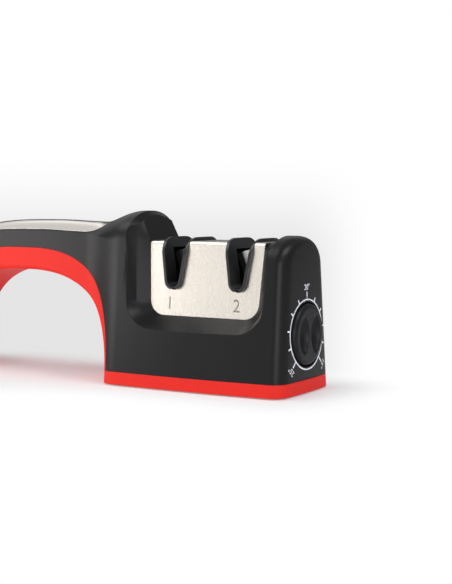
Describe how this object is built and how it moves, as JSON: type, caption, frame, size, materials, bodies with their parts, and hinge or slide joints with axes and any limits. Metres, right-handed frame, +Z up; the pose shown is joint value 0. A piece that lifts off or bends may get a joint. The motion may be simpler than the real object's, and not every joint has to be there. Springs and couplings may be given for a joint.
{
  "type": "manual knife sharpener",
  "caption": "Bench-top pull-through knife sharpener with coarse and fine rod slots, an arched grip handle and an end knob that tilts the rods.",
  "frame": {"origin": "centre of the footprint's bounding box, on the table", "axes": "+X towards the knob end along the handle, -Y towards the front with the knife held across, +Z up"},
  "size_m": [0.2116, 0.05, 0.0743],
  "materials": {
    "black_plastic": "satin moulded plastic, fine grain",
    "red_plastic": "satin moulded plastic",
    "brushed_steel": "brushed",
    "knob_plastic": "satin moulded plastic",
    "nylon": "moulded, unpolished",
    "plain_steel": "turned or stamped",
    "coarse_grit": "diamond-coated rod",
    "ceramic": "smooth ceramic rod",
    "rubber": "matte"
  },
  "bodies": {
    "body": {"housing": "black_plastic", "base_tray": "red_plastic", "grip_underside": "red_plastic", "handle_inlay": "brushed_steel", "steel_cover": "brushed_steel", "slot_guide": "black_plastic", "spindle_carrier": "nylon", "spring_washer": "plain_steel", "pivot_pin_1": "plain_steel", "pivot_pin_2": "plain_steel", "base_screws": "plain_steel", "carrier_screws": "plain_steel", "tail_screws": "plain_steel", "guide_screws": "plain_steel", "base_pad": "rubber", "tail_pad": "rubber"},
    "knob_assembly": {"knob": "knob_plastic", "cam_spindle": "nylon", "spindle_clip": "plain_steel"},
    "coarse_front_arm": {"lever_1_front": "nylon", "coarse_rod_front": "coarse_grit"},
    "coarse_rear_arm": {"lever_1_rear": "nylon", "coarse_rod_rear": "coarse_grit"},
    "fine_front_arm": {"lever_2_front": "nylon", "fine_rod_front": "ceramic"},
    "fine_rear_arm": {"lever_2_rear": "nylon", "fine_rod_rear": "ceramic"}
  },
  "joints": [
    {"name": "knob_turn", "type": "hinge", "parent": "body", "child": "knob_assembly", "pos_m": [0.10499, 0, 0.0244], "axis": [1, 0, 0], "range_deg": [-135, 135]},
    {"name": "coarse_front_tilt", "type": "hinge", "parent": "body", "child": "coarse_front_arm", "pos_m": [0.04819, -0.0032, 0.0408], "axis": [0, 1, 0], "range_deg": [-5, 5]},
    {"name": "coarse_rear_tilt", "type": "hinge", "parent": "body", "child": "coarse_rear_arm", "pos_m": [0.04819, 0.0032, 0.0408], "axis": [0, 1, 0], "range_deg": [-5, 5]},
    {"name": "fine_front_tilt", "type": "hinge", "parent": "body", "child": "fine_front_arm", "pos_m": [0.07944, -0.0032, 0.0408], "axis": [0, 1, 0], "range_deg": [-5, 5]},
    {"name": "fine_rear_tilt", "type": "hinge", "parent": "body", "child": "fine_rear_arm", "pos_m": [0.07944, 0.0032, 0.0408], "axis": [0, 1, 0], "range_deg": [-5, 5]}
  ],
  "couplings": [
    {"joint": "coarse_front_tilt", "follows": "knob_turn", "ratio": 0.037037},
    {"joint": "coarse_rear_tilt", "follows": "knob_turn", "ratio": -0.037037},
    {"joint": "fine_front_tilt", "follows": "knob_turn", "ratio": 0.037037},
    {"joint": "fine_rear_tilt", "follows": "knob_turn", "ratio": -0.037037}
  ]
}
